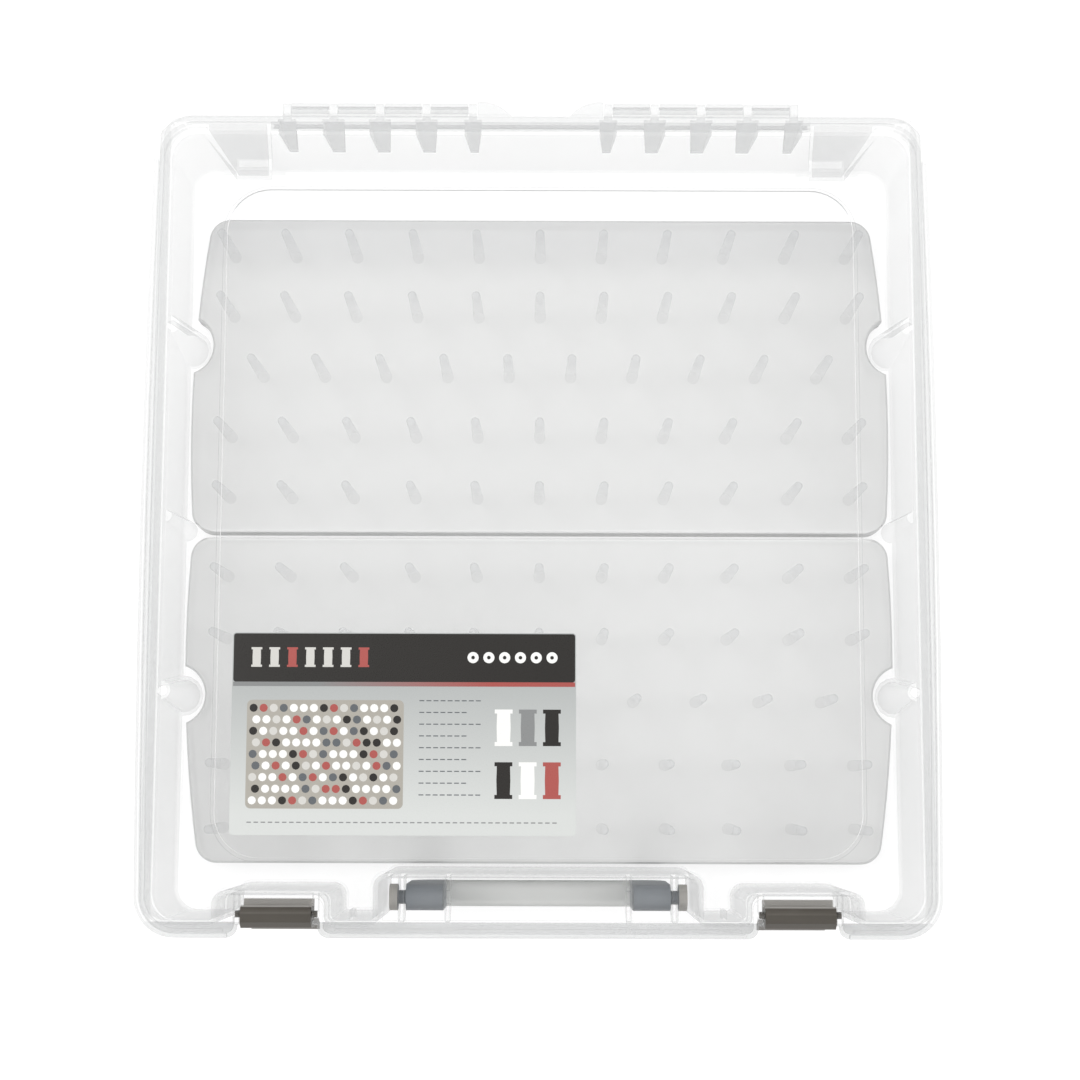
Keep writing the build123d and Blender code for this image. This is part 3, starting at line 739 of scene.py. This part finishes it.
@dataclass
class TrayPegs:
    """The pegs of each tray, smooth and tapered, that stand where the tray's own pegs stand."""

    finishes: Finishes
    trays: tuple[str, ...] = ("upper_tray", "lower_tray")
    columns: int = 11
    rows: int = 5
    sides: int = 16
    foot_radius: float = 2.7 * MM
    tip_radius: float = 1.95 * MM
    rounding: float = 1.0 * MM
    sunk: float = 0.2 * MM
    weld: float = 0.01 * MM

    def build(self) -> None:
        """Makes one smooth set of pegs for each tray."""
        tree = self._build_tree()
        for tray in self.trays:
            low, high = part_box(f"{tray}_pegs")
            mesh = bpy.data.meshes.new(f"{tray}_peg_feet")
            mesh.from_pydata(self._feet(low, high), [], [])
            source = bpy.data.objects.new(f"{tray}_peg_feet", mesh)
            bpy.context.scene.collection.objects.link(source)
            stand = source.modifiers.new("pegs", "NODES")
            stand.node_group = tree
            values = {
                "Sides": self.sides,
                "Height": high.z - low.z + self.sunk,
                "Foot Radius": self.foot_radius,
                "Tip Radius": self.tip_radius,
                "Rounding": self.rounding,
                "Material": self.finishes.peg,
            }
            for item in tree.interface.items_tree:
                if item.in_out == "INPUT" and item.name in values:
                    stand[item.identifier] = values[item.name]
            graph = bpy.context.evaluated_depsgraph_get()
            made = bpy.data.meshes.new_from_object(source.evaluated_get(graph), depsgraph=graph)
            bpy.data.objects.remove(source)
            made.name = f"{tray}_peg_set"
            pegs = bpy.data.objects.new(f"{tray}_peg_set", made)
            bpy.context.scene.collection.objects.link(pegs)
            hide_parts(f"{tray}_pegs")
            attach(pegs, tray)
            log.info("made %s", pegs.name)

    def _feet(self, low: Vector, high: Vector) -> list[tuple[float, float, float]]:
        """Returns the foot of each peg: rows at one pitch, the middle one with a peg fewer, half a pitch over.

        Args:
            low: The lowest corner of the tray's pegs.
            high: The highest corner.

        Returns:
            The places of the feet.
        """
        centre_x, centre_y = (low.x + high.x) / 2, (low.y + high.y) / 2
        pitch = (high.y - low.y - 2 * self.foot_radius) / (self.rows - 1)
        places = []
        for row in range(self.rows):
            count = self.columns - 1 if row == self.rows // 2 else self.columns
            for k in range(count):
                x = centre_x + (k - (count - 1) / 2) * pitch
                places.append((x, centre_y + (row - (self.rows - 1) / 2) * pitch, low.z - self.sunk))
        return places

    def _build_tree(self) -> bpy.types.NodeTree:
        """Builds the tree that stands a closed, tapered peg with a rounded tip on each point.

        Returns:
            The Geometry Nodes tree.
        """
        tree = bpy.data.node_groups.new("peg_on_each_point", "GeometryNodeTree")
        face = tree.interface
        face.new_socket(name="Geometry", in_out="INPUT", socket_type="NodeSocketGeometry")
        face.new_socket(name="Sides", in_out="INPUT", socket_type="NodeSocketInt")
        for label in ("Height", "Foot Radius", "Tip Radius", "Rounding"):
            face.new_socket(name=label, in_out="INPUT", socket_type="NodeSocketFloat")
        face.new_socket(name="Material", in_out="INPUT", socket_type="NodeSocketMaterial")
        face.new_socket(name="Geometry", in_out="OUTPUT", socket_type="NodeSocketGeometry")
        nodes, link = tree.nodes, tree.links.new
        start, end = nodes.new("NodeGroupInput"), nodes.new("NodeGroupOutput")

        shortened = []
        for whole in ("Height", "Tip Radius"):
            less = nodes.new("ShaderNodeMath")
            less.operation = "SUBTRACT"
            link(start.outputs[whole], less.inputs[0])
            link(start.outputs["Rounding"], less.inputs[1])
            shortened.append(less.outputs[0])
        shaft_height, crown_radius = shortened

        open_parts = []
        for wide, narrow, height, hidden in (
            (start.outputs["Foot Radius"], start.outputs["Tip Radius"], shaft_height, "Top"),
            (start.outputs["Tip Radius"], crown_radius, start.outputs["Rounding"], "Bottom"),
        ):
            cone = nodes.new("GeometryNodeMeshCone")
            link(start.outputs["Sides"], cone.inputs["Vertices"])
            link(wide, cone.inputs["Radius Bottom"])
            link(narrow, cone.inputs["Radius Top"])
            link(height, cone.inputs["Depth"])
            opened = nodes.new("GeometryNodeDeleteGeometry")
            opened.domain = "FACE"
            link(cone.outputs["Mesh"], opened.inputs["Geometry"])
            link(cone.outputs[hidden], opened.inputs["Selection"])
            open_parts.append(opened)
        lift = nodes.new("ShaderNodeCombineXYZ")
        link(shaft_height, lift.inputs["Z"])
        raised = nodes.new("GeometryNodeTransform")
        link(open_parts[1].outputs["Geometry"], raised.inputs["Geometry"])
        link(lift.outputs["Vector"], raised.inputs["Translation"])
        join = nodes.new("GeometryNodeJoinGeometry")
        link(open_parts[0].outputs["Geometry"], join.inputs["Geometry"])
        link(raised.outputs["Geometry"], join.inputs["Geometry"])
        merge = nodes.new("GeometryNodeMergeByDistance")
        merge.inputs["Distance"].default_value = self.weld
        link(join.outputs["Geometry"], merge.inputs["Geometry"])
        smooth = nodes.new("GeometryNodeSetShadeSmooth")
        link(merge.outputs["Geometry"], smooth.inputs["Geometry"])
        stand = nodes.new("GeometryNodeInstanceOnPoints")
        link(start.outputs["Geometry"], stand.inputs["Points"])
        link(smooth.outputs["Geometry"], stand.inputs["Instance"])
        real = nodes.new("GeometryNodeRealizeInstances")
        link(stand.outputs["Instances"], real.inputs["Geometry"])
        finish = nodes.new("GeometryNodeSetMaterial")
        link(real.outputs["Geometry"], finish.inputs["Geometry"])
        link(start.outputs["Material"], finish.inputs["Material"])
        link(finish.outputs["Geometry"], end.inputs["Geometry"])
        return tree


@dataclass
class LidLabel:
    """The sticker on the lid: a dark header, a line that fades to red and a pale body, printed with spools.

    The places of the prints are shares of the sticker's width and depth.
    """

    finishes: Finishes
    front_colour: Colour = (0.60, 0.615, 0.60)
    back_colour: Colour = (0.40, 0.415, 0.41)
    corner_radius: float = 1.5 * MM
    margin: float = 0.4 * MM
    header_share: float = 0.245
    line_share: float = 0.022
    ink_height: float = 0.03 * MM
    ink_overlap: float = 0.01 * MM
    header_spools: int = 7
    header_spool: Span = (4.6 * MM, 8.4 * MM)
    header_bobbins: int = 6
    bobbin_radius: float = 2.4 * MM
    bobbin_hole: float = 0.8 * MM
    rack_corner: float = 2.2 * MM
    rack_columns: int = 15
    rack_rows: int = 9
    reel_radius: float = 1.75 * MM
    small_disc_sides: int = 12
    stitch: Span = (2.1 * MM, 0.45 * MM)
    stitch_rows: int = 9
    stitch_columns: int = 9
    stitch_pitch: float = 0.0205
    seam_stitch: Span = (1.9 * MM, 0.5 * MM)
    seam_stitches: int = 44
    large_spool: Span = (7.6 * MM, 15.5 * MM)
    left: float = field(init=False)
    front: float = field(init=False)
    right: float = field(init=False)
    back: float = field(init=False)
    width: float = field(init=False)
    depth: float = field(init=False)
    bottom: float = field(init=False)
    top: float = field(init=False)

    def build(self) -> None:
        """Builds the sheet and its prints, and puts them on the lid."""
        low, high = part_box("label")
        self.left, self.front, self.right, self.back = low.x, low.y, high.x, high.y
        self.width, self.depth = high.x - low.x, high.y - low.y
        self.bottom, self.top = low.z, high.z - self.ink_height
        fade = (self.front + 0.1 * self.depth, self.front + 0.75 * self.depth)
        ground = FadingInk("label_ground", Axis.Y, fade, self.front_colour, self.back_colour)
        outline = rounded_box((self.left, self.front), (self.right, self.back), self.corner_radius)
        sheet = flat_piece("label_sheet", [outline], self.bottom, self.top, ground.build(self.finishes.effects))
        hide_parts("label")
        self._keep(sheet)
        self._print_header()
        self._print_body()

    def _keep(self, piece: bpy.types.Object) -> None:
        """Lets a piece ride on the lid, casting no shadow; the light in the box fills its shadow."""
        piece.visible_shadow = False
        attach(piece, "lid")
        log.info("made %s", piece.name)

    def _at(self, across: float, up: float) -> Point:
        """Returns the point at these shares of the label's width and depth."""
        return self.left + across * self.width, self.front + up * self.depth

    def _ink(self, name: str, outlines: list[Outline], ink: Ink, layer: float = 0.0) -> None:
        """Prints outlines in an ink, layer 0 on the sheet and higher layers on top."""
        self._print(name, outlines, self.finishes.inks[ink], layer)

    def _print(self, name: str, outlines: list[Outline], material: bpy.types.Material, layer: float = 0.0) -> None:
        """Prints outlines in a material, layer 0 on the sheet and higher layers on top."""
        low = self.top - self.ink_overlap
        high = self.top + self.ink_height * (0.4 + 0.3 * layer)
        self._keep(flat_piece(name, outlines, low, high, material))

    def _print_header(self) -> None:
        """Prints the header band, its fading line, a row of spools and a row of bobbins."""
        left, right = self.left + self.margin, self.right - self.margin
        base = self.back - self.header_share * self.depth
        band = rounded_box((left, base), (right, self.back - self.margin), self.corner_radius - self.margin)
        self._ink("label_header", [band], Ink.BLACK)
        line = base - self.line_share * self.depth
        span = (self.left + 0.25 * self.width, self.left + 0.75 * self.width)
        fade = FadingInk("ink_fading_line", Axis.X, span, Ink.GREY.value, Ink.BRICK.value)
        outline = [(left, line), (right, line), (right, base), (left, base)]
        self._print("label_line", [outline], fade.build(self.finishes.effects))
        middle = 1.0 - self.header_share / 2
        reels = {Ink.SILVER: [], Ink.BRICK: []}
        for k in range(self.header_spools):
            x, y = self._at(0.07 + 0.052 * k, middle)
            reels[Ink.BRICK if k % 4 == 2 else Ink.SILVER].append(spool_outline(x, y, *self.header_spool))
        for ink, outlines in reels.items():
            self._ink(f"label_header_spools_{ink.name.lower()}", outlines, ink, 1.0)
        discs, holes = [], []
        for k in range(self.header_bobbins):
            x, y = self._at(0.70 + 0.046 * k, middle)
            discs.append(disc_outline(x, y, self.bobbin_radius))
            holes.append(disc_outline(x, y, self.bobbin_hole, self.small_disc_sides))
        self._ink("label_header_bobbins", discs, Ink.WHITE, 1.0)
        self._ink("label_header_bobbin_holes", holes, Ink.BLACK, 2.0)

    def _print_body(self) -> None:
        """Prints the pale body: a rack of reels seen from above, running stitches and a few large spools."""
        low, high = self._at(0.045, 0.13), self._at(0.50, 0.665)
        self._ink("label_rack", [rounded_box(low, high, self.rack_corner)], Ink.BEIGE)
        across = (high[0] - low[0]) / (self.rack_columns + 0.6)
        up = (high[1] - low[1]) / (self.rack_rows + 0.4)
        reels = {Ink.WHITE: [], Ink.SILVER: [], Ink.BLACK: [], Ink.BRICK: [], Ink.SLATE: []}
        order = (Ink.WHITE, Ink.SILVER, Ink.BLACK, Ink.WHITE, Ink.SLATE, Ink.BRICK, Ink.WHITE)
        for row in range(self.rack_rows):
            for k in range(self.rack_columns):
                x = low[0] + across * (k + 0.65 + 0.30 * (row % 2))
                y = low[1] + up * (row + 0.7)
                ink = order[(k * 3 + row * row * 2 + (k * row) % 4) % len(order)]
                reels[ink].append(disc_outline(x, y, self.reel_radius, self.small_disc_sides))
        for ink, outlines in reels.items():
            self._ink(f"label_reels_{ink.name.lower()}", outlines, ink, 1.0)
        stitches = []
        for row in range(self.stitch_rows):
            for k in range(self.stitch_columns - (row * 2) % 4):
                x, y = self._at(0.545 + self.stitch_pitch * k, 0.66 - 0.058 * row)
                stitches.append(dash_outline(x, y, *self.stitch))
        self._ink("label_stitches", stitches, Ink.SLATE, 1.0)
        seam = []
        for k in range(self.seam_stitches):
            x, y = self._at(0.05 + self.stitch_pitch * k, 0.06)
            seam.append(dash_outline(x, y, *self.seam_stitch))
        self._ink("label_seam", seam, Ink.GREY, 1.0)
        spools = {Ink.WHITE: [], Ink.BLACK: [], Ink.BRICK: [], Ink.GREY: []}
        for k, ink in enumerate((Ink.BLACK, Ink.WHITE, Ink.BRICK, Ink.WHITE, Ink.GREY, Ink.BLACK)):
            x, y = self._at(0.79 + 0.07 * (k % 3), 0.27 + 0.26 * (k // 3))
            spools[ink].append(spool_outline(x, y, *self.large_spool))
        for ink, outlines in spools.items():
            self._ink(f"label_spools_{ink.name.lower()}", outlines, ink, 1.0)


# ---------------------------------------------------------------- studio
@dataclass
class Studio:
    """The white floor, the soft lights and the camera over the box."""

    focal_pixels: float = 1978.2
    frame_pixels: float = 1080.0
    camera_place: tuple[float, float, float] = (0.3 * MM, -120.9 * MM, 934.3 * MM)
    camera_tilt: float = 0.12571
    camera_roll: float = 0.0029
    floor_reach: float = 12.0
    floor_drop: float = 0.4 * MM
    floor_colour: Colour = (0.30, 0.30, 0.30)
    floor_glow: Colour = (0.80, 0.80, 0.80)
    room_light: float = 0.62

    def build(self) -> None:
        """Makes the studio."""
        self._camera()
        self._floor()
        self._world()
        self._lamps()

    def _camera(self) -> None:
        """Places the camera above the box, tilted a little towards the hinge."""
        data = bpy.data.cameras.new("camera")
        data.sensor_width = 36.0
        data.lens = data.sensor_width * self.focal_pixels / self.frame_pixels
        data.clip_start, data.clip_end = 0.01, 50.0
        camera = bpy.data.objects.new("camera", data)
        camera.matrix_world = (
            Matrix.Translation(Vector(self.camera_place))
            @ Matrix.Rotation(self.camera_tilt, 4, "X")
            @ Matrix.Rotation(self.camera_roll, 4, "Z")
        )
        bpy.context.scene.collection.objects.link(camera)
        bpy.context.scene.camera = camera

    def _floor(self) -> None:
        """Lays a wide white floor that the camera sees as white, with the box's shadow on it."""
        reach = self.floor_reach
        corners = [(-reach, -reach, 0), (reach, -reach, 0), (reach, reach, 0), (-reach, reach, 0)]
        mesh = bpy.data.meshes.new("floor")
        mesh.from_pydata(corners, [], [[0, 1, 2, 3]])
        floor = bpy.data.objects.new("floor", mesh)
        floor.location.z = -self.floor_drop
        bench = Bench("floor_white")
        bench.shader.inputs["Base Color"].default_value = (*self.floor_colour, 1.0)
        bench.shader.inputs["Roughness"].default_value = 0.9
        bench.shader.inputs["Specular IOR Level"].default_value = 0.1
        rays = bench.node("ShaderNodeLightPath")
        seen = bench.math("ADD", rays.outputs["Is Camera Ray"], rays.outputs["Is Transmission Ray"])
        seen = bench.math("ADD", seen, rays.outputs["Is Glossy Ray"])
        bench.link(bench.mix(seen, BLACK, self.floor_glow), bench.shader.inputs["Emission Color"])
        bench.shader.inputs["Emission Strength"].default_value = 1.0
        mesh.materials.append(bench.material)
        bpy.context.scene.collection.objects.link(floor)

    def _world(self) -> None:
        """Fills the room with plain white light, which the camera sees as full white."""
        world = bpy.data.worlds.new("studio")
        bpy.context.scene.world = world
        world.use_nodes = True
        nodes, links = world.node_tree.nodes, world.node_tree.links
        sky = next(n for n in nodes if n.bl_idname == "ShaderNodeBackground")
        sky.inputs["Color"].default_value = (1.0, 1.0, 1.0, 1.0)
        rays = nodes.new("ShaderNodeLightPath")
        level = nodes.new("ShaderNodeMapRange")
        level.inputs["To Min"].default_value = self.room_light
        level.inputs["To Max"].default_value = 1.0
        links.new(rays.outputs["Is Camera Ray"], level.inputs["Value"])
        links.new(level.outputs["Result"], sky.inputs["Strength"])

    def _lamps(self) -> None:
        """Hangs a large soft lamp on each side."""
        for name, place, size, power in (
            ("lamp_left", (-1.3, 0.5, 1.7), 1.6, 22.0),
            ("lamp_right", (1.4, 0.2, 1.6), 1.6, 16.0),
            ("lamp_front", (0.0, -1.8, 1.3), 1.2, 8.0),
        ):
            data = bpy.data.lights.new(name, "AREA")
            data.shape, data.size, data.energy = "SQUARE", size, power
            lamp = bpy.data.objects.new(name, data)
            lamp.location = place
            lamp.rotation_mode = "QUATERNION"
            lamp.rotation_quaternion = Vector(place).to_track_quat("Z", "Y")
            bpy.context.scene.collection.objects.link(lamp)


def main() -> None:
    """Builds the studio and dresses the box."""
    logging.basicConfig(level=logging.INFO, format="%(name)s: %(message)s")
    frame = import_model()
    scene = bpy.context.scene
    scene.view_settings.view_transform = "Standard"
    scene.cycles.transparent_max_bounces = 32
    finishes = Finishes(Effects())
    CadPieces(frame["nodes"], finishes).dress()
    TrayPegs(finishes).build()
    LidLabel(finishes).build()
    Studio().build()


if __name__ == "__main__":
    main()
